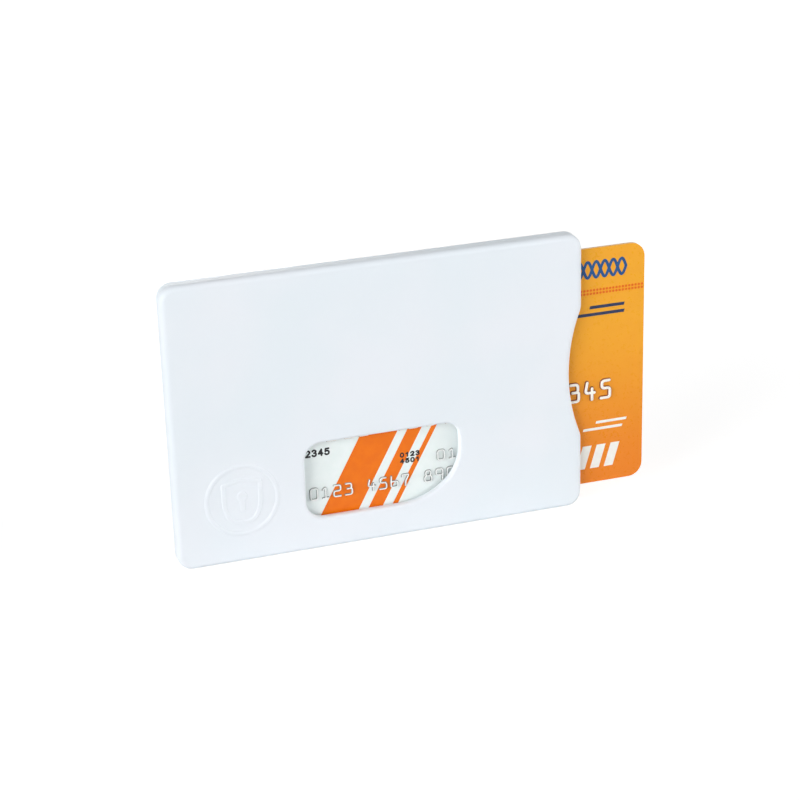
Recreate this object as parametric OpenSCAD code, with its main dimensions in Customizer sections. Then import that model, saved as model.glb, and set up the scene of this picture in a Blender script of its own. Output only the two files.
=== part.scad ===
// Hard sleeve for one payment or access card: two welded half shells lined with foil,
// a thumb window in the front and a thumb notch across the mouth. The card stands part
// of the way out. X runs along the sleeve to its mouth, Z up its short side and Y from
// the front face to the rear face. The origin is the middle of the lower edge.

/* [Card] */
// Length of the card
card_length = 85.6; // [80:0.1:92]
// Height of the card
card_height = 53.98; // [50:0.02:60]
// Thickness of the card
card_thickness = 0.76; // [0.6:0.02:1]
// Radius of the card's corners
card_corner_r = 3.18; // [2.6:0.01:4]
// How far the card stands out of its home place
card_out = 17.4; // [0:0.1:60]

/* [Fit] */
// Gap between the card's long edges and the guide rails
side_clearance = 0.25; // [0.15:0.01:0.4]
// Gap between a card pushed home and the end wall
end_clearance = 0.1; // [0.05:0.01:0.5]
// Gap between the card's faces and the ledges that carry its edges
face_clearance = 0.1; // [0.05:0.01:0.15]
// Room in front of the card, for its raised characters
front_gap = 0.6; // [0.5:0.01:1]
// Room behind the card
rear_gap = 0.34; // [0.25:0.01:0.8]

/* [Shell] */
// Thickness of the front and rear walls
wall = 1.4; // [1.3:0.05:2]
// Thickness of the wall at the closed end
end_wall = 2.4; // [2:0.1:4]
// Width of the two long rims, from the outside to the card's edge
rim_width = 3.86; // [3.6:0.01:5]
// How far the sleeve reaches past a card pushed home
mouth_cover = 2.3; // [1:0.1:4]
// Radius of the sleeve's four corners
corner_r = 3.2; // [2.4:0.1:5]
// Rounding of the outer edges
edge_r = 1.2; // [0.6:0.05:1.25]
// Width of the ledges that carry the card's edges
ledge_width = 1.6; // [1:0.1:2.5]
// Radius of the card space at its closed end
slot_corner_r = 2.6; // [1.5:0.1:3]
// Chamfer that leads the card in between the ledges
lead_in = 0.5; // [0.3:0.05:0.8]

/* [Thumb window] */
// From the closed end to the window
window_left = 28; // [24:0.5:32]
// From the lower edge to the window
window_bottom = 7.1; // [6.6:0.1:12]
// Length of the window
window_length = 34.3; // [30:0.1:40]
// Height of the window
window_height = 17.1; // [15:0.1:20]
// Radius of the two corners towards the closed end
window_near_r = 3.9; // [2:0.1:5]
// Radius of the upper corner towards the mouth
window_far_r = 3.3; // [2:0.1:5]
// Radius of the sweep where it leaves the window's lower edge
sweep_low_r = 16; // [14:0.5:18]
// Radius of the sweep where it meets the window's far end
sweep_end_r = 10; // [8:0.5:11]
// Rounding of the window's front edge
window_edge_r = 0.6; // [0.3:0.05:0.9]

/* [Thumb notch] */
// Depth of the notch in both walls at the mouth
notch_depth = 2.78; // [1.5:0.02:3.4]
// Radius that blends the notch into the mouth
notch_blend_r = 4; // [2:0.5:6]

/* [Ring on the front] */
// From the closed end to the middle of the ring
ring_x = 14.3; // [12:0.1:16]
// From the lower edge to the middle of the ring
ring_z = 14.2; // [12:0.1:18]
// Radius of the ring along its crest
ring_r = 7.6; // [5:0.1:9]
// Width of the raised bead
bead_width = 1.1; // [0.6:0.05:1.2]
// Height of the raised bead
bead_height = 0.2; // [0.15:0.01:0.4]

/* [Foil shields] */
// Thickness of the foil
foil = 0.1; // [0.05:0.01:0.2]
// Distance of the foil from the ledges and the notch
foil_margin = 0.8; // [0.4:0.1:2]
// Distance of the front foil from the window
window_margin = 1.6; // [1:0.1:3]
// Radius of the foil's corners
foil_corner_r = 1.5; // [1:0.1:3]

/* [Weld joint] */
// Distance of the tongue from the outside
tongue_inset = 0.5; // [0.4:0.05:0.6]
// Width of the tongue
tongue_width = 0.6; // [0.4:0.05:0.8]
// Height of the tongue
tongue_height = 0.5; // [0.3:0.05:0.7]
// Gap round the tongue in its groove
tongue_clearance = 0.05; // [0.02:0.01:0.08]
// Depth of the fine groove along the parting line
seam_depth = 0.12; // [0.05:0.01:0.2]
// Half the width of the fine groove along the parting line
seam_half = 0.08; // [0.04:0.01:0.15]

/* [Cored rims] */
// Width of the guide rail between the card and the cores
rail_width = 1; // [0.8:0.05:1.2]
// Thickness of the rim's outer wall
rim_wall = 1.5; // [1.3:0.05:1.6]
// Distance between the ribs across the cores
rib_pitch = 12; // [9:0.5:16]
// Thickness of the ribs across the cores
rib = 0.8; // [0.6:0.05:1.2]
// Solid length of the rims at both ends of the sleeve
rim_end = 5; // [4:0.5:8]

/* [Chip module] */
// From the card's left edge to the middle of the contacts
chip_x = 15.06; // [12:0.01:18]
// From the card's lower edge to the middle of the contacts
chip_z = 30.09; // [28:0.01:34]
// Length of the contact plate
chip_length = 13; // [10:0.1:15]
// Height of the contact plate
chip_height = 11.8; // [9:0.1:14]
// Radius of the contact plate's corners
chip_corner_r = 2; // [1:0.1:3]
// Thickness of the contact plate
chip_plate = 0.2; // [0.1:0.01:0.25]
// Length and height of the moulded chip behind the plate
chip_mould = 8; // [6:0.1:9.5]
// Depth of the moulded chip behind the plate
chip_mould_depth = 0.36; // [0.2:0.01:0.42]

/* [Rear of the card] */
// From the card's upper edge to the magnetic stripe
stripe_top = 4; // [3:0.1:6]
// Height of the magnetic stripe
stripe_height = 12.7; // [8:0.1:14]
// Thickness of the stripe and of the signature panel
print_layer = 0.05; // [0.03:0.01:0.08]
// Gap between the magnetic stripe and the signature panel
panel_gap = 3.2; // [2:0.1:6]
// Height of the signature panel
panel_height = 9.5; // [7:0.1:12]
// Length of the signature panel
panel_length = 60; // [40:1:66]
// From the card's outer end to the signature panel
panel_inset = 6; // [4:0.5:12]

/* [Hidden] */
$fn = 96;

// Overlap that lets a cut run out of a solid
over = 0.3;

// The sleeve's outside, worked out from the card
card_home_x = end_wall + end_clearance;
sleeve_length = card_home_x + card_length + mouth_cover;
sleeve_height = card_height + 2 * (side_clearance + rim_width);
slot_height = card_height + 2 * side_clearance;
sleeve_depth = 2 * wall + front_gap + card_thickness + rear_gap;
half_depth = sleeve_depth / 2;

// Distances outwards from the parting plane, in the middle of the thickness
wall_inside = half_depth - wall;
front_ledge = wall_inside - front_gap + face_clearance;
rear_ledge = wall_inside - rear_gap + face_clearance;
card_front = wall_inside - front_gap;

// The thumb notch, seen from the middle of the mouth: one wide arc that two blend arcs join
// to the straight mouth, where the arcs' common radius leans by a 44-117-125 triangle
notch_z = sleeve_height / 2;
notch_lean = [0.936, 0.352];
notch_turn = asin(notch_lean[1]);
notch_r = notch_depth / (1 - notch_lean[0]) - notch_blend_r;
notch_centre_x = notch_r - notch_depth;
notch_reach = (notch_r + notch_blend_r) * notch_lean[1];
notch_join_x = notch_centre_x - notch_r * notch_lean[0];

// The thumb window: the sweep is two arcs, tangent to each other, to the lower edge and to
// the end, and their common radius leans by a 3-4-5 triangle
window_right = window_left + window_length;
window_top = window_bottom + window_height;
sweep_lean = [0.6, 0.8];
sweep_turn = asin(sweep_lean[1]);
sweep_shift = (sweep_low_r - sweep_end_r) * sweep_lean;
sweep_rise = sweep_low_r - sweep_shift[1];
sweep_end_centre = [window_right - sweep_end_r, window_bottom + sweep_rise];
sweep_low_centre = [sweep_end_centre[0] - sweep_shift[0], window_bottom + sweep_low_r];

// The bead's section is the cap of a circle
bead_r = (pow(bead_height, 2) + pow(bead_width / 2, 2)) / (2 * bead_height);

// The card space between the ledges, where the walls stand back and carry the foil
recess_x = end_wall + ledge_width;
recess_z = rim_width + ledge_width;
recess_height = slot_height - 2 * ledge_width;
foil_x = recess_x + foil_margin;
foil_z = recess_z + foil_margin;
foil_length = sleeve_length - notch_depth - edge_r - foil_margin - foil_x;
foil_height = recess_height - 2 * foil_margin;

// The cores in the rims
core_width = rim_width - rail_width - rim_wall;
core_span = sleeve_length - 2 * rim_end;
core_count = floor((core_span + rib) / rib_pitch);
core_pitch = (core_span + rib) / core_count;

// The card where it rests
card_x = card_home_x + card_out;
card_z = rim_width + side_clearance;

white = [0.93, 0.95, 0.97];
foil_silver = [0.78, 0.79, 0.8];
orange = [0.93, 0.6, 0.2];
gold = [0.83, 0.68, 0.33];
stripe_black = [0.13, 0.1, 0.09];
panel_white = [0.92, 0.92, 0.88];

// Stands a shape drawn in the plan, with its thickness outwards, up at the front or the rear
module at_front() { translate([-sleeve_length / 2, 0, 0]) rotate([90, 0, 0]) children(); }
module at_rear() { mirror([0, 1, 0]) at_front() children(); }

module rounded_rectangle(length, height, r) {
    translate([r, 0]) square([length - 2 * r, height]);
    translate([0, r]) square([length, height - 2 * r]);
    for (x = [r, length - r], y = [r, height - r]) translate([x, y]) circle(r);
}

// The sleeve's outline, drawn in by inset
module sleeve_outline(inset = 0) {
    translate([inset, inset])
        rounded_rectangle(sleeve_length - 2 * inset, sleeve_height - 2 * inset, corner_r - inset);
}

// What a rounded edge takes off a wall that stands at 0 with its material towards +X
module edge_section(r) {
    difference() {
        translate([-over, half_depth - r]) square([r + over, r + over]);
        translate([r, half_depth - r]) circle(r);
    }
}

// Rounds a straight edge that starts at a point and runs along an angle, with material to its left
module straight_rounding(x, z, angle, length, r) {
    translate([x, z, 0]) rotate([0, 0, angle]) rotate([90, 0, 90]) linear_extrude(length) edge_section(r);
}

// Rounds an edge along an arc. The material lies outside the arc, or inside it.
module arc_rounding(x, z, arc_r, start, turn, r, inside = false) {
    translate([x, z, 0]) rotate([0, 0, start]) rotate_extrude(angle = turn)
        translate([arc_r, 0]) mirror([inside ? 1 : 0, 0]) edge_section(r);
}

// Moves a shape that is drawn from the middle of the mouth
module from_mouth() { translate([sleeve_length, notch_z]) children(); }

// The part of a wall that the thumb notch takes away, in the plan
module notch_shape() from_mouth() {
    intersection() {
        translate([notch_centre_x, 0]) circle(notch_r, $fn = 360);
        translate([-notch_depth - over, -notch_reach])
            square([notch_join_x + notch_depth + over, 2 * notch_reach]);
    }
    difference() {
        translate([notch_join_x, -notch_reach]) square([over - notch_join_x, 2 * notch_reach]);
        for (side = [-1, 1]) translate([-notch_blend_r, side * notch_reach]) circle(notch_blend_r);
    }
}

module outer_rounding() {
    long = sleeve_length - 2 * corner_r;
    short = sleeve_height - 2 * corner_r;
    straight_rounding(corner_r, 0, 0, long, edge_r);
    straight_rounding(sleeve_length - corner_r, sleeve_height, 180, long, edge_r);
    straight_rounding(0, sleeve_height - corner_r, -90, short, edge_r);
    for (corner = [[corner_r, corner_r, 180], [sleeve_length - corner_r, corner_r, -90],
                   [sleeve_length - corner_r, sleeve_height - corner_r, 0],
                   [corner_r, sleeve_height - corner_r, 90]])
        arc_rounding(corner[0], corner[1], corner_r, corner[2], 90, edge_r, inside = true);
}

// The mouth's edge, from the lower corner round the notch to the upper corner
module mouth_rounding() from_mouth() {
    lip = notch_z - notch_reach - corner_r;
    straight_rounding(0, -notch_reach - lip, 90, lip, edge_r);
    straight_rounding(0, notch_reach, 90, lip, edge_r);
    arc_rounding(notch_centre_x, 0, notch_r, 180 - notch_turn, 2 * notch_turn, edge_r, $fn = 360);
    for (side = [-1, 1])
        arc_rounding(-notch_blend_r, side * notch_reach, notch_blend_r, side > 0 ? -notch_turn : 0,
                     notch_turn, edge_r, inside = true);
}

// A slice of a disc, from one angle through a turn of under a quarter
module sector(centre, r, start, turn) {
    far = r / cos(turn / 2) + over;
    angles = [start, start + turn / 2, start + turn];
    translate(centre) intersection() {
        circle(r, $fn = 180);
        polygon([[0, 0], for (angle = angles) far * [cos(angle), sin(angle)]]);
    }
}

// The thumb window's outline, grown by grow
module window_shape(grow = 0) {
    near_r = window_near_r + grow;
    far_r = window_far_r + grow;
    left = window_left - grow;
    right = window_right + grow;
    bottom = window_bottom - grow;
    top = window_top + grow;
    end = sweep_end_centre;
    low = sweep_low_centre;
    join = low + (sweep_low_r + grow) * [sweep_lean[0], -sweep_lean[1]];
    polygon([[left + near_r, bottom], [low[0], bottom], join, [right, end[1]], [right, top - far_r],
             [right - far_r, top], [left + near_r, top], [left, top - near_r], [left, bottom + near_r]]);
    for (z = [bottom + near_r, top - near_r]) translate([left + near_r, z]) circle(near_r);
    translate([right - far_r, top - far_r]) circle(far_r);
    sector(low, sweep_low_r + grow, -90, 90 - sweep_turn);
    sector(end, sweep_end_r + grow, -sweep_turn, sweep_turn);
}

module window_rounding() {
    r = window_edge_r;
    near_x = window_left + window_near_r;
    near_low_z = window_bottom + window_near_r;
    near_high_z = window_top - window_near_r;
    far_x = window_right - window_far_r;
    far_z = window_top - window_far_r;
    end = sweep_end_centre;
    low = sweep_low_centre;
    straight_rounding(low[0], window_bottom, 180, low[0] - near_x, r);
    straight_rounding(window_left, near_low_z, 90, near_high_z - near_low_z, r);
    straight_rounding(near_x, window_top, 0, far_x - near_x, r);
    straight_rounding(window_right, far_z, -90, far_z - end[1], r);
    arc_rounding(near_x, near_low_z, window_near_r, 180, 90, r);
    arc_rounding(near_x, near_high_z, window_near_r, 90, 90, r);
    arc_rounding(far_x, far_z, window_far_r, 0, 90, r);
    arc_rounding(end[0], end[1], sweep_end_r, -sweep_turn, sweep_turn, r, $fn = 180);
    arc_rounding(low[0], low[1], sweep_low_r, -90, 90 - sweep_turn, r, $fn = 180);
}

// Half of the card space, from the parting plane out to a ledge along the card's edges
module card_space(ledge) {
    past_mouth = 2 * corner_r;
    translate([end_wall, rim_width, -over]) linear_extrude(ledge + over)
        rounded_rectangle(sleeve_length - end_wall + past_mouth, slot_height, slot_corner_r);
    translate([recess_x, recess_z, -over]) linear_extrude(wall_inside + over)
        rounded_rectangle(sleeve_length - recess_x + past_mouth, recess_height, slot_corner_r);
    // The ledges' ends at the mouth are chamfered
    translate([0, rim_width, 0]) rotate([-90, 0, 0]) linear_extrude(slot_height)
        polygon([[sleeve_length - lead_in, -ledge + over], [sleeve_length - lead_in, -ledge],
                 [sleeve_length, -min(ledge + lead_in, wall_inside)], [sleeve_length + over, -wall_inside],
                 [sleeve_length + over, over]]);
}

// The shallow pocket that holds the foil flush with the wall's inside
module foil_outline() {
    translate([foil_x, foil_z]) rounded_rectangle(foil_length, foil_height, foil_corner_r);
}

module foil_layer() {
    translate([0, 0, wall_inside]) linear_extrude(foil) children();
}

// The row of cores in each long rim, between the guide rail and the rim's outer wall
module cores() {
    for (z = [rim_wall, sleeve_height - rim_wall - core_width], i = [0 : core_count - 1])
        translate([rim_end + i * core_pitch, z, -over])
            cube([core_pitch - rib, core_width, wall_inside + over]);
}

// The tongue's run along the lower rim, the closed end and the upper rim, widened by gap
module tongue_track(gap = 0) {
    intersection() {
        difference() {
            sleeve_outline(tongue_inset - gap);
            sleeve_outline(tongue_inset + tongue_width + gap);
        }
        square([sleeve_length - rim_end + gap, sleeve_height]);
    }
}

// A half shell without its card space
module shell_blank() {
    difference() {
        linear_extrude(half_depth) sleeve_outline();
        translate([0, 0, -over]) linear_extrude(half_depth + 2 * over) notch_shape();
        outer_rounding();
        mouth_rounding();
        translate([0, 0, -over]) linear_extrude(seam_half + over) difference() {
            sleeve_outline(-over);
            sleeve_outline(seam_depth);
        }
        cores();
    }
}

module front_shell() color(white) at_front() {
    difference() {
        union() {
            shell_blank();
            translate([0, 0, -tongue_height]) linear_extrude(tongue_height + over) tongue_track();
            translate([ring_x, ring_z, half_depth + bead_height - bead_r]) rotate_extrude()
                translate([ring_r, 0]) circle(bead_r);
        }
        card_space(front_ledge);
        foil_layer() difference() {
            foil_outline();
            window_shape(window_margin);
        }
        translate([0, 0, -over]) linear_extrude(half_depth + 2 * over) window_shape();
        window_rounding();
    }
}

module rear_shell() color(white) at_rear() {
    difference() {
        shell_blank();
        card_space(rear_ledge);
        foil_layer() foil_outline();
        translate([0, 0, -over]) linear_extrude(tongue_height + tongue_clearance + over)
            tongue_track(tongue_clearance);
    }
}

module front_shield() color(foil_silver) at_front() foil_layer() difference() {
    foil_outline();
    window_shape(window_margin);
}

module rear_shield() color(foil_silver) at_rear() foil_layer() foil_outline();

// Places a shape drawn on the card's face, with its depth into the card from the front
module in_card(depth_from, depth) {
    at_front() translate([card_x, card_z, card_front - depth_from - depth])
        linear_extrude(depth) children();
}

module chip_plate_outline() {
    translate([chip_x - chip_length / 2, chip_z - chip_height / 2])
        rounded_rectangle(chip_length, chip_height, chip_corner_r);
}

module chip_mould_outline() {
    translate([chip_x - chip_mould / 2, chip_z - chip_mould / 2]) square(chip_mould);
}

module stripe_outline() {
    translate([0, card_height - stripe_top - stripe_height]) square([card_length, stripe_height]);
}

module panel_outline() {
    translate([card_length - panel_inset - panel_length,
               card_height - stripe_top - stripe_height - panel_gap - panel_height])
        square([panel_length, panel_height]);
}

module card_body() color(orange) difference() {
    in_card(0, card_thickness) rounded_rectangle(card_length, card_height, card_corner_r);
    in_card(-over, chip_plate + over) chip_plate_outline();
    in_card(0, chip_plate + chip_mould_depth) chip_mould_outline();
    in_card(card_thickness - print_layer, print_layer + over) {
        stripe_outline();
        panel_outline();
    }
}

module chip_module() color(gold) {
    in_card(0, chip_plate) chip_plate_outline();
    in_card(chip_plate, chip_mould_depth) chip_mould_outline();
}

// Sets an outline flush into the card's rear face
module in_rear() { in_card(card_thickness - print_layer, print_layer) children(); }

module magnetic_stripe() color(stripe_black) in_rear() stripe_outline();

module signature_panel() color(panel_white) in_rear() panel_outline();

front_shell();
rear_shell();
front_shield();
rear_shield();
card_body();
chip_module();
magnetic_stripe();
signature_panel();
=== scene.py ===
"""Looks of a hard card sleeve with a chip card standing partly out of it.

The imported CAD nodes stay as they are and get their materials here. What a mould or a press
adds in relief, and what is printed on the card, are meshes that ride on the CAD bodies.
Lengths are millimetres in the frame of the CAD model, and piece() turns them into metres.
The materials see an object's own coordinates in metres, so their scales are per metre.
"""
import math
from collections import namedtuple

import bpy
import numpy as np
from mathutils import Matrix, Vector


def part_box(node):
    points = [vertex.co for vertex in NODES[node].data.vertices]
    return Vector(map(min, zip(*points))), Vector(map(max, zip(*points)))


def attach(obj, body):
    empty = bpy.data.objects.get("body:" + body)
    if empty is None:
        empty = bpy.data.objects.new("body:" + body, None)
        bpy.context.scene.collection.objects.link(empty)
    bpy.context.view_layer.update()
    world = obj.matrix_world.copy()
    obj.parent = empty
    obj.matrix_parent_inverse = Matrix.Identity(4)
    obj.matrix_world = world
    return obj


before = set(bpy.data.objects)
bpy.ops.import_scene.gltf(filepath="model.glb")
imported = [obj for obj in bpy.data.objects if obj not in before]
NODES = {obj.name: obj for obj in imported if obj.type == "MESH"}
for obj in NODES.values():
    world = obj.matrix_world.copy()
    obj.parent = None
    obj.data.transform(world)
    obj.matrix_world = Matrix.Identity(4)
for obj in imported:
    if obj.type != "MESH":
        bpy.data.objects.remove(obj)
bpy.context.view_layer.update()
MM = 0.001


def corners(node):
    """A CAD node's lowest and highest corners at rest, in millimetres."""
    return [[round(float(c) / MM, 3) for c in corner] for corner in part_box(node)]


# The sleeve: its rear face is plain, so it gives the front face's distance from the parting
# plane too. RING is the middle of the bead on the front face, as (x, z).
(SLEEVE_LEFT, _, _), (_, SHELL_REAR, _) = corners("rear_shell")
SHELL_FRONT = -SHELL_REAR
RING = (round(SLEEVE_LEFT + 14.3, 3), 14.2)

# The card: its sides, the radius of its corners, the thickness of the printed laminate over
# its core, and the middle and half the size of its chip's contacts, as (x, z)
(CARD_LEFT, CARD_FRONT, CARD_LOW), (CARD_RIGHT, CARD_REAR, _) = corners("card_body")
CARD_CORNER = 3.18
LAMINATE = 0.1
CHIP = (CARD_LEFT + 15.06, CARD_LOW + 30.09)
CHIP_HALF = (6.5, 5.9)

# How far a level of print stands in front of the one behind it
LAYER = 0.015


# Camera

CAMERA_AZIMUTH = 17.813  # degrees to the left of straight ahead
CAMERA_ELEVATION = 21.808  # degrees
CAMERA_ROLL = -1.738  # degrees
CAMERA_DISTANCE = 447.24
CAMERA_TARGET = (4.72, 0.0, 30.21)
FOCAL_PIXELS = 2130.7
PHOTO_PIXELS = 800
SENSOR = 36.0
CLIP_METRES = (0.01, 50)


def make_camera():
    """The camera of the photograph."""
    azimuth = math.radians(CAMERA_AZIMUTH)
    elevation = math.radians(CAMERA_ELEVATION)
    roll = math.radians(CAMERA_ROLL)
    back = Vector((-math.sin(azimuth) * math.cos(elevation),
                   -math.cos(azimuth) * math.cos(elevation),
                   math.sin(elevation)))
    right = (-back).cross(Vector((0, 0, 1))).normalized()
    up = right.cross(-back)
    rolled_right = math.cos(roll) * right + math.sin(roll) * up
    rolled_up = -math.sin(roll) * right + math.cos(roll) * up
    rotation = Matrix((rolled_right, rolled_up, back)).transposed()
    place = (Vector(CAMERA_TARGET) + CAMERA_DISTANCE * back) * MM
    data = bpy.data.cameras.new("camera")
    data.sensor_fit = "HORIZONTAL"
    data.sensor_width = SENSOR
    data.lens = FOCAL_PIXELS * SENSOR / PHOTO_PIXELS
    data.clip_start, data.clip_end = CLIP_METRES
    camera = bpy.data.objects.new("camera", data)
    bpy.context.scene.collection.objects.link(camera)
    camera.matrix_world = Matrix.Translation(place) @ rotation.to_4x4()
    bpy.context.scene.camera = camera


# Materials

FADE = (3, 45)  # heights between which the card's orange turns lighter
TIP = (0.25, 0.35)  # how far above the card a raised digit's flank turns into its top
HATCH = 7000.0  # radians per metre across the lines of the writing surface


def linear(rgb):
    """A colour as it looks on screen, 0 to 255, as Blender's linear values."""
    return tuple((c / 255 / 12.92) if c <= 10 else ((c / 255 + 0.055) / 1.055) ** 2.4
                 for c in rgb) + (1.0,)


class Nodes:
    """A material's node tree, with one short call for each kind of node used here."""

    def __init__(self, name):
        self.material = bpy.data.materials.new(name)
        self.material.use_nodes = True
        self.tree = self.material.node_tree
        self.tree.nodes.clear()
        self.output = self.add("ShaderNodeOutputMaterial")
        self.shader = self.add("ShaderNodeBsdfPrincipled")
        self.link(self.shader.outputs[0], self.output.inputs["Surface"])
        self.place = self.add("ShaderNodeTexCoord").outputs["Object"]

    def add(self, kind, **settings):
        node = self.tree.nodes.new(kind)
        for key, value in settings.items():
            setattr(node, key, value)
        return node

    def link(self, source, target):
        """Sets a socket to a number or a colour, or links another socket to it."""
        if isinstance(source, (int, float, tuple)):
            target.default_value = source
        else:
            self.tree.links.new(source, target)

    def set(self, **sockets):
        for name, value in sockets.items():
            self.link(value, self.shader.inputs[name.replace("_", " ")])

    def scaled(self, scale):
        node = self.add("ShaderNodeMapping")
        self.link(self.place, node.inputs["Vector"])
        node.inputs["Scale"].default_value = scale
        return node.outputs[0]

    def noise(self, scale, detail=3.0, roughness=0.5, stretch=None):
        node = self.add("ShaderNodeTexNoise")
        self.link(self.scaled(stretch) if stretch else self.place, node.inputs["Vector"])
        node.inputs["Scale"].default_value = scale
        node.inputs["Detail"].default_value = detail
        node.inputs["Roughness"].default_value = roughness
        return node.outputs["Fac"]

    def ramp(self, value, low, high, to_low=0.0, to_high=1.0):
        node = self.add("ShaderNodeMapRange", interpolation_type="SMOOTHSTEP")
        self.link(value, node.inputs["Value"])
        for name, number in (("From Min", low), ("From Max", high),
                             ("To Min", to_low), ("To Max", to_high)):
            node.inputs[name].default_value = number
        return node.outputs["Result"]

    def mix(self, share, first, second):
        node = self.add("ShaderNodeMix", data_type="RGBA")
        self.link(share, node.inputs["Factor"])
        self.link(first, node.inputs[6])
        self.link(second, node.inputs[7])
        return node.outputs[2]

    def math(self, operation, first, second=0.0):
        node = self.add("ShaderNodeMath", operation=operation)
        self.link(first, node.inputs[0])
        self.link(second, node.inputs[1])
        return node.outputs[0]

    def axis(self, index):
        """The place along x, y or z, as 0, 1 or 2."""
        node = self.add("ShaderNodeSeparateXYZ")
        self.link(self.place, node.inputs[0])
        return node.outputs[index]

    def bump(self, height, distance, strength):
        node = self.add("ShaderNodeBump")
        node.inputs["Strength"].default_value = strength
        node.inputs["Distance"].default_value = distance
        self.link(height, node.inputs["Height"])
        self.link(node.outputs[0], self.shader.inputs["Normal"])


def white_plastic():
    """Smooth white moulding: a faint cloud in its colour, fine handling marks in its gloss."""
    m = Nodes("white_plastic")
    cloud = m.ramp(m.noise(38, detail=2.0), 0.35, 0.65)
    handled = m.noise(900, roughness=0.6, stretch=(0.25, 1.0, 1.0))
    m.set(Base_Color=m.mix(cloud, linear((241, 246, 252)), linear((237, 245, 251))),
          Roughness=m.ramp(handled, 0.3, 0.7, 0.46, 0.54), Specular_IOR_Level=0.35)
    m.bump(m.noise(2600, detail=2.0), distance=0.00002, strength=0.25)
    return m.material


def foil():
    """Thin rolled foil: bright metal with rolling lines and slight dents."""
    m = Nodes("foil")
    rolled = m.noise(1500, roughness=0.6, stretch=(0.02, 1.0, 1.0))
    m.set(Base_Color=m.mix(m.ramp(rolled, 0.3, 0.7),
                           linear((222, 224, 226)), linear((208, 211, 215))),
          Metallic=1.0, Roughness=m.ramp(rolled, 0.3, 0.7, 0.34, 0.46))
    m.bump(m.math("ADD", rolled, m.noise(120, detail=2.0)), distance=0.00002, strength=0.25)
    return m.material


def card_face():
    """Orange laminated card: an upward fade, a light mottle and a pale core along its edges."""
    m = Nodes("card_face")
    fade = m.ramp(m.axis(2), FADE[0] * MM, FADE[1] * MM)
    orange = m.mix(fade, linear((240, 132, 22)), linear((249, 174, 38)))
    mottle = m.ramp(m.noise(420, detail=4.0, roughness=0.6), 0.3, 0.7, 0.0, 0.1)
    printed = m.mix(mottle, orange, linear((234, 132, 28)))
    depth = m.axis(1)
    core = m.math("MULTIPLY", m.math("GREATER_THAN", depth, (CARD_FRONT + LAMINATE) * MM),
                  m.math("LESS_THAN", depth, (CARD_REAR - LAMINATE) * MM))
    m.set(Base_Color=m.mix(core, printed, linear((244, 208, 146))),
          Roughness=m.ramp(m.noise(1500, roughness=0.6), 0.3, 0.7, 0.26, 0.36),
          Specular_IOR_Level=0.35, Coat_Weight=0.1, Coat_Roughness=0.2)
    m.bump(m.noise(1800, detail=2.0), distance=0.00001, strength=0.3)
    return m.material


def gold():
    """Gold-plated contacts with fine rubbing marks."""
    m = Nodes("gold_contacts")
    worn = m.noise(1500, detail=4.0, roughness=0.65, stretch=(1.0, 1.0, 0.2))
    m.set(Base_Color=m.mix(m.ramp(worn, 0.35, 0.7),
                           linear((226, 190, 112)), linear((201, 162, 88))),
          Metallic=1.0, Roughness=m.ramp(worn, 0.3, 0.7, 0.22, 0.38))
    m.bump(worn, distance=0.00001, strength=0.4)
    return m.material


def stripe():
    """Magnetic coating: near black with faint lengthwise streaks from the reader."""
    m = Nodes("magnetic_coating")
    streak = m.noise(900, detail=4.0, roughness=0.7, stretch=(0.04, 1.0, 1.0))
    m.set(Base_Color=m.mix(m.ramp(streak, 0.35, 0.7), linear((30, 24, 22)), linear((44, 37, 34))),
          Roughness=m.ramp(streak, 0.3, 0.7, 0.34, 0.5))
    m.bump(streak, distance=0.00001, strength=0.3)
    return m.material


def paper():
    """Writing surface: matt, with a fine slanted hatch."""
    m = Nodes("writing_surface")
    slanted = m.math("ADD", m.axis(0), m.axis(2))
    lines = m.math("SINE", m.math("MULTIPLY", slanted, HATCH))
    grain = m.noise(2200)
    m.set(Base_Color=m.mix(m.ramp(lines, 0.55, 0.95, 0.0, 0.5),
                           linear((236, 236, 228)), linear((196, 204, 206))),
          Roughness=m.ramp(grain, 0.3, 0.7, 0.7, 0.85), Sheen_Weight=0.1)
    m.bump(grain, distance=0.00002, strength=0.4)
    return m.material


def ink_and_shade(name, rgb, other):
    """Printed ink with a slight mottle, and the painted shade of the dents on the card's rear."""
    m = Nodes(name)
    mottle = m.ramp(m.noise(420, roughness=0.6), 0.3, 0.7)
    m.set(Base_Color=m.mix(mottle, linear(rgb), linear(other)),
          Roughness=m.ramp(m.noise(1500), 0.3, 0.7, 0.28, 0.37), Specular_IOR_Level=0.35)
    m.bump(m.noise(1800, detail=2.0), distance=0.00001, strength=0.3)
    return m.material


def tipped(name, top, flank, deeper_flank_shade):
    """Raised digits: whitened tops, slightly rubbed, over flanks of stretched print painted darker
    as shade.
    """
    m = Nodes(name)
    worn = m.noise(1600, roughness=0.6)
    tip = m.ramp(m.axis(1), (CARD_FRONT - TIP[0]) * MM, (CARD_FRONT - TIP[1]) * MM)
    # The flanks' two colours are painted shade on the digits' slopes, mixed at random
    side = m.mix(m.ramp(worn, 0.35, 0.65), linear(flank), linear(deeper_flank_shade))
    rubbed = m.mix(m.ramp(worn, 0.5, 0.75, 0.0, 0.4), linear(top), linear((222, 221, 216)))
    m.set(Base_Color=m.mix(tip, side, rubbed), Roughness=m.ramp(worn, 0.3, 0.7, 0.25, 0.4),
          Specular_IOR_Level=0.5)
    m.bump(worn, distance=0.00001, strength=0.3)
    return m.material


# Meshes

def piece(name, vertices, faces, material, body, smooth=False):
    """A mesh from millimetre points that rides on a body."""
    mesh = bpy.data.meshes.new(name)
    mesh.from_pydata([tuple(c * MM for c in v) for v in vertices], [], faces)
    mesh.validate()
    for polygon in mesh.polygons:
        polygon.use_smooth = smooth
    mesh.materials.append(material)
    shown = bpy.data.objects.new(name, mesh)
    bpy.context.scene.collection.objects.link(shown)
    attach(shown, body)


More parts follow.
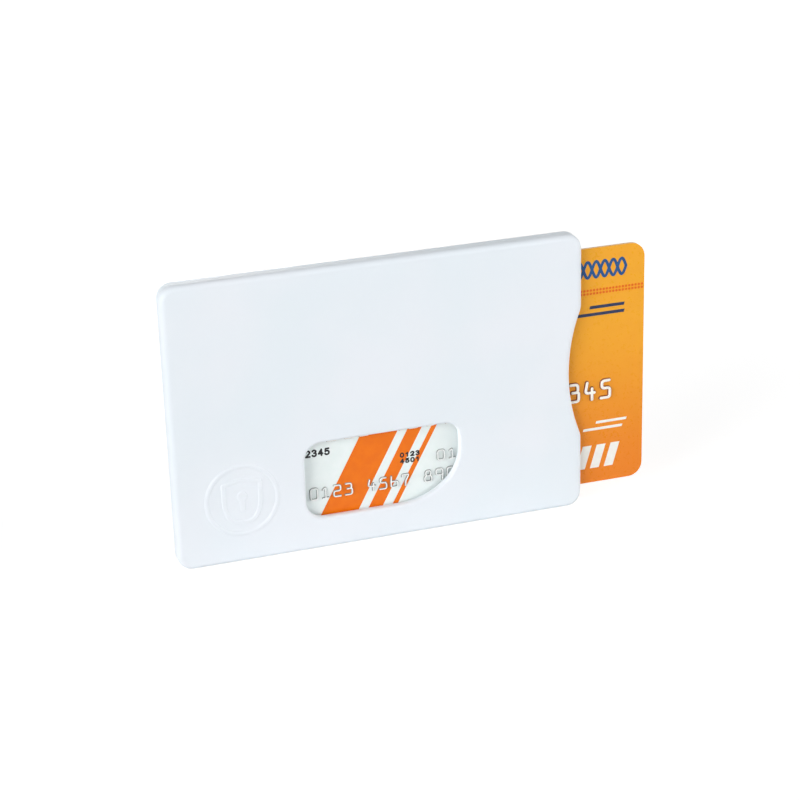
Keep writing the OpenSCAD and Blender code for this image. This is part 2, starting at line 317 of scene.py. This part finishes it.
def slab(outline, y_front, y_back, vertices, faces):
    """Adds a thin slab with this outline, given as (x, z) anticlockwise seen from the front."""
    start, count = len(vertices), len(outline)
    vertices += [(x, y_front, z) for x, z in outline] + [(x, y_back, z) for x, z in outline]
    faces.append([start + i for i in range(count)])
    faces.append([start + count + i for i in reversed(range(count))])
    for i in range(count):
        j = (i + 1) % count
        faces.append([start + j, start + i, start + count + i, start + count + j])


def arc(centre, radius, first, last, steps):
    """Points along an arc; radius may be one number or a pair for an ellipse."""
    rx, rz = radius if isinstance(radius, tuple) else (radius, radius)
    angles = [math.radians(first + (last - first) * i / steps) for i in range(steps + 1)]
    return [(centre[0] + rx * math.cos(a), centre[1] + rz * math.sin(a)) for a in angles]


def rounded(points, radius, steps=5):
    """A polyline with its corners rounded; it is closed where it ends at its first point."""
    closed = points[0] == points[-1]
    corner_points = points[:-1] if closed else points
    count = len(corner_points)
    result = [] if closed else [points[0]]
    for i in range(count) if closed else range(1, count - 1):
        before, here, after = (np.array(corner_points[k % count], float)
                               for k in (i - 1, i, i + 1))
        back, ahead = before - here, after - here
        # Two roundings never meet on a short side
        reach = min(radius, 0.48 * np.hypot(*back), 0.48 * np.hypot(*ahead))
        start = here + back / np.hypot(*back) * reach
        end = here + ahead / np.hypot(*ahead) * reach
        for k in range(steps + 1):
            t = k / steps
            result.append(tuple((1 - t) ** 2 * start + 2 * t * (1 - t) * here + t * t * end))
    result.append(result[0] if closed else points[-1])
    return result


def distance_to(strokes, x, z):
    """Distance of the grid points x, z to the nearest stroke, less that stroke's half width."""
    best = np.full(x.shape, 1e9)
    for points, half in strokes:
        for (ax, az), (bx, bz) in zip(points[:-1], points[1:]):
            dx, dz = bx - ax, bz - az
            share = ((x - ax) * dx + (z - az) * dz) / max(dx * dx + dz * dz, 1e-12)
            share = np.clip(share, 0, 1)
            best = np.minimum(best, np.hypot(x - ax - share * dx, z - az - share * dz) - half)
    return best


def relief(strokes, box, vertices, faces, cell, surface_y, height, flank, side=-1):
    """Adds strokes raised by height from surface_y, towards the front or, with side 1, the rear.

    The relief is a closed skin on a grid of cells. Its face follows the rounded strokes down
    their flanks, and its back lies sunk below the surface.
    """
    sunk = 0.03
    (x0, z0), (x1, z1) = box
    nx, nz = int(math.ceil((x1 - x0) / cell)), int(math.ceil((z1 - z0) / cell))
    xs, zs = x0 + np.arange(nx + 1) * cell, z0 + np.arange(nz + 1) * cell
    grid_x, grid_z = np.meshgrid(xs, zs, indexing="ij")
    away = distance_to(strokes, grid_x, grid_z)
    share = np.clip(1 - away / flank, 0, 1)
    rise = (height + sunk) * share * share * (3 - 2 * share) - sunk
    near = away < flank
    kept = near[:-1, :-1] | near[1:, :-1] | near[1:, 1:] | near[:-1, 1:]
    # Cells that would touch only at a corner get a common neighbour
    kept[1:, :-1] |= kept[:-1, :-1] & kept[1:, 1:] & ~kept[:-1, 1:]
    kept[:-1, :-1] |= kept[1:, :-1] & kept[:-1, 1:] & ~kept[1:, 1:]
    used = np.zeros(rise.shape, bool)
    for corner_of in (used[:-1, :-1], used[1:, :-1], used[1:, 1:], used[:-1, 1:]):
        corner_of |= kept
    order = np.argwhere(used)
    start, count = len(vertices), len(order)
    index = -np.ones(rise.shape, int)
    index[tuple(order.T)] = np.arange(count)
    vertices += [(xs[i], surface_y + side * rise[i, j], zs[j]) for i, j in order]
    vertices += [(xs[i], surface_y - side * 2 * sunk, zs[j]) for i, j in order]
    skin = []
    for i, j in np.argwhere(kept):
        a, b, c, d = (start + int(index[p])
                      for p in ((i, j), (i + 1, j), (i + 1, j + 1), (i, j + 1)))
        skin.append([a, b, c, d])
        skin.append([a + count, d + count, c + count, b + count])
        for first, second, beside in ((a, b, (i, j - 1)), (b, c, (i + 1, j)),
                                      (c, d, (i, j + 1)), (d, a, (i - 1, j))):
            inside = 0 <= beside[0] < nx and 0 <= beside[1] < nz and kept[beside]
            if not inside:
                skin.append([second, first, first + count, second + count])
    faces += skin if side < 0 else [face[::-1] for face in skin]


# Digits

# The strokes of the raised digits, in a box of 1 by 1, with square shoulders
RAISED_DIGITS = {
    "0": [[(0, 0), (1, 0), (1, 1), (0, 1), (0, 0)]],
    "1": [[(0.1, 0.78), (0.5, 1), (0.5, 0)], [(0.1, 0), (0.9, 0)]],
    "2": [[(0.04, 1), (1, 1), (1, 0.5), (0, 0.5), (0, 0), (1, 0)]],
    "3": [[(0.1, 1), (0.9, 1), (0.9, 0.54), (0.3, 0.54)],
          [(0.5, 0.54), (1, 0.54), (1, 0), (0, 0)]],
    "4": [[(0.2, 1), (0, 0.4), (1, 0.4)], [(0.74, 0.64), (0.74, 0)]],
    "5": [[(0.92, 1), (0.1, 1), (0.1, 0.56), (1, 0.56), (1, 0), (0, 0)]],
    "6": [[(0.06, 1), (0, 0.5), (0, 0), (1, 0), (1, 0.52), (0, 0.52)]],
    "7": [[(0, 0.82), (0, 1), (1, 1), (0.46, 0.4), (0.46, 0)]],
    "8": [[(0.14, 0.54), (0.86, 0.54), (0.86, 1), (0.14, 1), (0.14, 0.54)],
          [(0, 0), (1, 0), (1, 0.54), (0, 0.54), (0, 0)]],
    "9": [[(0.94, 0), (1, 0.5), (1, 1), (0, 1), (0, 0.48), (1, 0.48)]],
}

# The strokes of the printed digits, in a box of 1 by 1
PRINTED_DIGITS = {
    "0": [arc((0.5, 0.62), (0.5, 0.38), 0, 180, 16)
          + arc((0.5, 0.38), (0.5, 0.38), 180, 360, 16) + [(1, 0.62)]],
    "1": [[(0.15, 0.74), (0.62, 1.0), (0.62, 0.0)]],
    "2": [arc((0.5, 0.72), (0.48, 0.28), 170, -25, 16) + [(0.02, 0.0), (1.0, 0.0)]],
    "3": [arc((0.48, 0.76), (0.44, 0.24), 155, -90, 14),
          arc((0.5, 0.27), (0.5, 0.27), 90, -155, 14)],
    "4": [[(0.72, 0.0), (0.72, 1.0), (0.0, 0.3), (1.0, 0.3)]],
    "5": [[(0.92, 1.0), (0.16, 1.0), (0.08, 0.54)]
          + arc((0.48, 0.32), (0.52, 0.32), 125, -155, 18)],
}

# A line of digits: its text, the middle of its first place, the pitch, the digits' base,
# width and height, and half the width of a stroke
Line = namedtuple("Line", "text first_x pitch base_z width height half")

# A piece's name and line, the width of its flank, how far it stands proud and its ground
RAISED_LINES = (
    ("card_number",
     Line("0123 4567 8901 2345", CARD_LEFT + 10.95, 3.65, 23.85, 2.1, 3.95, 0.19),
     0.32, 0.46, "orange"),
    ("card_date", Line("01", 13.4, 2.54, 15.35, 1.45, 2.2, 0.09), 0.17, 0.38, "pale"),
    ("card_lower_line", Line("0123 4567 890 123", -15.0, 2.54, 10.75, 1.5, 2.5, 0.09),
     0.17, 0.38, "pale"),
)

SMALL_LINES = (
    Line("2345", -15.95, 1.4, 20.6, 0.84, 1.32, 0.18),
    Line("0123", 4.7, 1.16, 17.3, 0.68, 0.86, 0.14),
    Line("4501", 4.7, 1.16, 15.9, 0.68, 0.86, 0.14),
)

SHOULDER = 0.33  # rounding of the raised digits' shoulders, as a share of their width


def digits_of(line, shapes, margin):
    """The strokes of each digit in a line, and its box with a margin; a space stays empty."""
    for place, digit in enumerate(line.text):
        if digit != " ":
            left = line.first_x + place * line.pitch - line.width / 2
            strokes = [[(left + u * line.width, line.base_z + v * line.height)
                        for u, v in stroke] for stroke in shapes[digit]]
            yield strokes, ((left - margin, line.base_z - margin),
                            (left + line.width + margin, line.base_z + line.height + margin))


def make_raised_digits(materials):
    """The number, the date and the lower line, pressed up from behind as plain digits."""
    for name, line, flank, proud, ground in RAISED_LINES:
        vertices, faces = [], []
        for strokes, box in digits_of(line, RAISED_DIGITS, line.half + flank + 0.1):
            relief([(rounded(points, SHOULDER * line.width), line.half) for points in strokes],
                   box, vertices, faces, cell=0.06, surface_y=CARD_FRONT, height=proud,
                   flank=flank)
        piece(name, vertices, faces, materials[ground], "card", smooth=True)


def make_rear_marks(material):
    """Thinner strokes in a darker colour on the card's rear, where the raised digits leave dents:
    painted shade for those dents.
    """
    vertices, faces = [], []
    for _, line, _, _, _ in RAISED_LINES:
        for strokes, box in digits_of(line, RAISED_DIGITS, line.half + 0.16):
            relief([(rounded(points, SHOULDER * line.width), 0.6 * line.half)
                    for points in strokes],
                   box, vertices, faces, cell=0.08, surface_y=CARD_REAR, height=LAYER,
                   flank=0.08, side=1)
    piece("card_rear_marks", vertices, faces, material, "card", smooth=True)


def make_small_numbers(material):
    """Small printed numbers in the window."""
    vertices, faces = [], []
    for line in SMALL_LINES:
        for strokes, box in digits_of(line, PRINTED_DIGITS, line.half + 0.08):
            relief([(points, line.half) for points in strokes], box, vertices, faces,
                   cell=0.045, surface_y=CARD_FRONT, height=LAYER * 4, flank=0.05)
    piece("card_small_numbers", vertices, faces, material, "card")


# The sleeve's emblem

def make_emblem(material):
    """A plain shield with a keyhole, raised inside the ring."""
    cx, cz = RING
    half_width, shoulder_z, peak_z, centre_z, depth, fullness = 3.9, 3.7, 4.7, 0.4, 5.4, 0.62
    angles = [math.radians(a) for a in range(0, 91, 10)]
    right = [(half_width, shoulder_z)] + [(half_width * math.cos(a) ** fullness,
                                           centre_z - depth * math.sin(a)) for a in angles]
    left = [(-x, z) for x, z in reversed(right[:-1])]
    top = [(0.0, peak_z)]
    shield = [(cx + x, cz + z) for x, z in top + right + left + top]
    keyhole = [([(cx, cz + 0.85), (cx, cz + 0.86)], 0.95),
               ([(cx, cz + 0.7), (cx, cz - 2.1)], 0.4)]
    vertices, faces = [], []
    relief([(shield, 0.32)] + keyhole, ((cx - 5, cz - 6), (cx + 5, cz + 5.6)), vertices, faces,
           cell=0.1, surface_y=SHELL_FRONT, height=0.17, flank=0.28)
    piece("sleeve_emblem", vertices, faces, material, "sleeve", smooth=True)


# The card's print

PRINT_BACK = CARD_FRONT + 0.01
PRINT_EDGE = 0.02  # distance of the print from the card's edge
FIELD_TOP, FIELD_RIGHT = 24.45, 25.1
LEAN = 0.55  # of the field's end and the stripes, across for each millimetre up
STRIPES = ((-15.2, 8.4), (-4.6, 3.2), (0.8, 1.2))  # where each stands, and its width
DOT_ROWS = (47.98, 48.72)
DOT_PITCH = 0.74
DOT_RADIUS = 0.3
# Bars: the corners of their foot and their top before they lean, as (x0, z0, x1, z1)
NAVY_BARS = [(43.6, 42.9, 55.6, 43.6), (47.6, 44.5, 55.6, 45.2)]
WHITE_BARS = ([(46.2, 16.4, 55.4, 17.0), (49.2, 17.9, 56.4, 18.5)]
              + [(44.6 + 3.3 * i, 7.5, 46.7 + 3.3 * i, 12.9) for i in range(3)])


def print_level(level):
    return CARD_FRONT - LAYER * level


def print_slabs(name, outlines, level, material):
    """A piece of print from flat outlines."""
    vertices, faces = [], []
    for outline in outlines:
        slab(outline, print_level(level), PRINT_BACK, vertices, faces)
    piece(name, vertices, faces, material, "card")


def leaning(x0, z0, x1, z1, lean):
    shift = lean * (z1 - z0)
    return [(x0, z0), (x1, z0), (x1 + shift, z1), (x0 + shift, z1)]


def make_print(materials):
    """The flat print: a pale field, slanted stripes, a dotted rule, and navy and white bars."""
    low = CARD_LOW + PRINT_EDGE
    corner = arc((CARD_LEFT + CARD_CORNER, CARD_LOW + CARD_CORNER), CARD_CORNER - PRINT_EDGE,
                 180, 270, 10)
    field = corner + [(FIELD_RIGHT - LEAN * (FIELD_TOP - CARD_LOW), low),
                      (FIELD_RIGHT, FIELD_TOP), (CARD_LEFT + PRINT_EDGE, FIELD_TOP)]
    print_slabs("card_field", [field], 1, materials["pale"])

    print_slabs("card_stripes",
                [leaning(foot, low, foot + width, FIELD_TOP, LEAN) for foot, width in STRIPES],
                2, materials["orange"])

    dots = []
    x = CARD_LEFT + 0.7
    while x < CARD_RIGHT - 0.4:
        dots += [arc((x, z), DOT_RADIUS, 0, 315, 7) for z in DOT_ROWS]
        x += DOT_PITCH
    print_slabs("card_dots", dots, 1, materials["dots"])

    print_slabs("card_navy_bars", [leaning(*bar, 0.28) for bar in NAVY_BARS],
                1, materials["navy"])
    print_slabs("card_white_bars", [leaning(*bar, 0.3) for bar in WHITE_BARS],
                1, materials["white"])


def make_chip_lines(material):
    """The gaps between the contacts: two bent upright lines and three lines across on each side."""
    cx, cz = CHIP
    half_x, half_z = CHIP_HALF
    half = 0.09
    strokes = []
    for side in (-1, 1):
        upright = [(1.7, 5.86), (1.7, 3.6), (2.9, 2.2), (2.9, -2.2), (1.7, -3.6), (1.7, -5.86)]
        strokes.append((rounded([(cx + side * x, cz + z) for x, z in upright], 0.9), half))
        for inner, z in ((2.1, 3.1), (2.9, 0.0), (2.1, -3.1)):
            strokes.append(([(cx + side * inner, cz + z), (cx + side * 6.46, cz + z)], half))
    vertices, faces = [], []
    relief(strokes, ((cx - half_x, cz - half_z), (cx + half_x, cz + half_z)), vertices, faces,
           cell=0.06, surface_y=CARD_FRONT, height=LAYER, flank=0.03)
    piece("chip_lines", vertices, faces, material, "card")


def make_twist(material):
    """A blue band of two waves that cross like a twisted cord."""
    first, last, middle, swing, period, steps = 36.4, 56.0, 53.3, 1.75, 3.92, 120
    strokes = []
    for side in (1, -1):
        wave = []
        for i in range(steps + 1):
            x = first + (last - first) * i / steps
            turn = 2 * math.pi * (x - first) / period
            wave.append((x, middle + side * swing * math.sin(turn)))
        strokes.append((wave, 0.3))
    vertices, faces = [], []
    relief(strokes, ((first - 0.5, middle - 2.2), (last + 0.5, middle + 2.2)), vertices, faces,
           cell=0.07, surface_y=CARD_FRONT, height=LAYER * 2, flank=0.05)
    piece("card_twist", vertices, faces, material, "card")


# Light and floor

AMBIENT = 0.18  # strength of the world's light on surfaces
# Name, direction in which the lamp lies, strength, and how many degrees wide it looks
SUNS = (
    ("key", (-0.87, -0.46, 0.09), 3.8, 46),
    ("fill", (0.87, -0.46, 0.09), 2.9, 56),
    ("back", (0.1, 0.99, 0.04), 2.3, 20),
)
FLOOR_GREY = 0.72
FLOOR_LIFT = 0.68  # what the camera sees of the floor on top of the light that it returns
FLOOR_METRES = 3.0  # radius
FLOOR_SIDES = 64
FLOOR_DROP = 0.00002  # metres below the sleeve


def seen_directly(tree):
    """1 for camera, glossy and transmission rays, and else 0."""
    path = tree.nodes.new("ShaderNodeLightPath")
    total = path.outputs["Is Camera Ray"]
    for name in ("Is Glossy Ray", "Is Transmission Ray"):
        larger = tree.nodes.new("ShaderNodeMath")
        larger.operation = "MAXIMUM"
        tree.links.new(total, larger.inputs[0])
        tree.links.new(path.outputs[name], larger.inputs[1])
        total = larger.outputs[0]
    return total


def make_world():
    """A white surround that lights surfaces only faintly."""
    world = bpy.data.worlds.new("studio")
    bpy.context.scene.world = world
    world.use_nodes = True
    tree = world.node_tree
    tree.nodes.clear()
    output = tree.nodes.new("ShaderNodeOutputWorld")
    mix = tree.nodes.new("ShaderNodeMixShader")
    tree.links.new(seen_directly(tree), mix.inputs[0])
    for socket, strength in ((mix.inputs[1], AMBIENT), (mix.inputs[2], 1.0)):
        light = tree.nodes.new("ShaderNodeBackground")
        light.inputs["Color"].default_value = (1, 1, 1, 1)
        light.inputs["Strength"].default_value = strength
        tree.links.new(light.outputs[0], socket)
    tree.links.new(mix.outputs[0], output.inputs[0])


def make_floor():
    """A plain white floor that keeps the object's soft shadow."""
    mesh = bpy.data.meshes.new("floor")
    turns = [2 * math.pi * i / FLOOR_SIDES for i in range(FLOOR_SIDES)]
    rim = [(FLOOR_METRES * math.cos(turn), FLOOR_METRES * math.sin(turn), -FLOOR_DROP)
           for turn in turns]
    mesh.from_pydata(rim, [], [list(range(FLOOR_SIDES))])
    floor = bpy.data.objects.new("floor", mesh)
    bpy.context.scene.collection.objects.link(floor)
    material = bpy.data.materials.new("floor_white")
    material.use_nodes = True
    tree = material.node_tree
    tree.nodes.clear()
    output = tree.nodes.new("ShaderNodeOutputMaterial")
    add = tree.nodes.new("ShaderNodeAddShader")
    diffuse = tree.nodes.new("ShaderNodeBsdfDiffuse")
    diffuse.inputs["Color"].default_value = (FLOOR_GREY, FLOOR_GREY, FLOOR_GREY, 1)
    glow = tree.nodes.new("ShaderNodeEmission")
    scale = tree.nodes.new("ShaderNodeMath")
    scale.operation = "MULTIPLY"
    scale.inputs[1].default_value = FLOOR_LIFT
    tree.links.new(seen_directly(tree), scale.inputs[0])
    tree.links.new(scale.outputs[0], glow.inputs["Strength"])
    tree.links.new(diffuse.outputs[0], add.inputs[0])
    tree.links.new(glow.outputs[0], add.inputs[1])
    tree.links.new(add.outputs[0], output.inputs[0])
    mesh.materials.append(material)


def make_sun(name, towards, strength, width):
    """A far, soft studio lamp."""
    data = bpy.data.lights.new(name, "SUN")
    data.energy = strength
    data.angle = math.radians(width)
    lamp = bpy.data.objects.new(name, data)
    bpy.context.scene.collection.objects.link(lamp)
    lamp.location = Vector(towards).normalized()
    lamp.rotation_mode = "QUATERNION"
    lamp.rotation_quaternion = Vector(towards).to_track_quat("Z", "Y")


# Everything together

def paint(node, material):
    """Gives a CAD node its material."""
    shown = NODES[node]
    shown.data.materials.clear()
    shown.data.materials.append(material)
    for polygon in shown.data.polygons:
        polygon.material_index = 0


plastic = white_plastic()
metal = foil()
for name, material, slot in (
        ("front_shell", plastic, "shell"), ("rear_shell", plastic, "shell"),
        ("front_shield", metal, "foil"), ("rear_shield", metal, "foil"),
        ("card_body", card_face(), "card"), ("chip_module", gold(), "contacts"),
        ("magnetic_stripe", stripe(), "stripe"), ("signature_panel", paper(), "panel")):
    paint(name, material)

make_emblem(plastic)
# The second and third colours of each material are the flanks' painted shade
make_raised_digits({
    "orange": tipped("tipped_on_orange", (255, 253, 246), (146, 76, 24), (110, 54, 18)),
    "pale": tipped("tipped_on_pale", (250, 253, 252), (160, 166, 164), (112, 118, 117)),
})
make_print({
    "pale": ink_and_shade("pale_ink", (244, 252, 251), (240, 249, 248)),
    "orange": ink_and_shade("orange_ink", (245, 122, 4), (240, 114, 4)),
    "dots": ink_and_shade("dot_ink", (240, 110, 0), (230, 100, 0)),
    "navy": ink_and_shade("navy_ink", (34, 54, 92), (28, 48, 84)),
    "white": ink_and_shade("white_ink", (252, 252, 247), (248, 246, 240)),
})
# The rear marks' darker colour is painted shade standing in for the dents
make_rear_marks(ink_and_shade("painted_dent_shade", (186, 108, 34), (170, 94, 28)))
make_chip_lines(ink_and_shade("contact_gap", (92, 74, 44), (78, 62, 36)))
make_twist(ink_and_shade("blue_ink", (26, 86, 146), (22, 76, 134)))
make_small_numbers(ink_and_shade("black_ink", (30, 30, 32), (38, 38, 40)))

make_camera()
make_world()
make_floor()
for sun in SUNS:
    make_sun(*sun)

scene = bpy.context.scene
scene.view_settings.view_transform = "Standard"
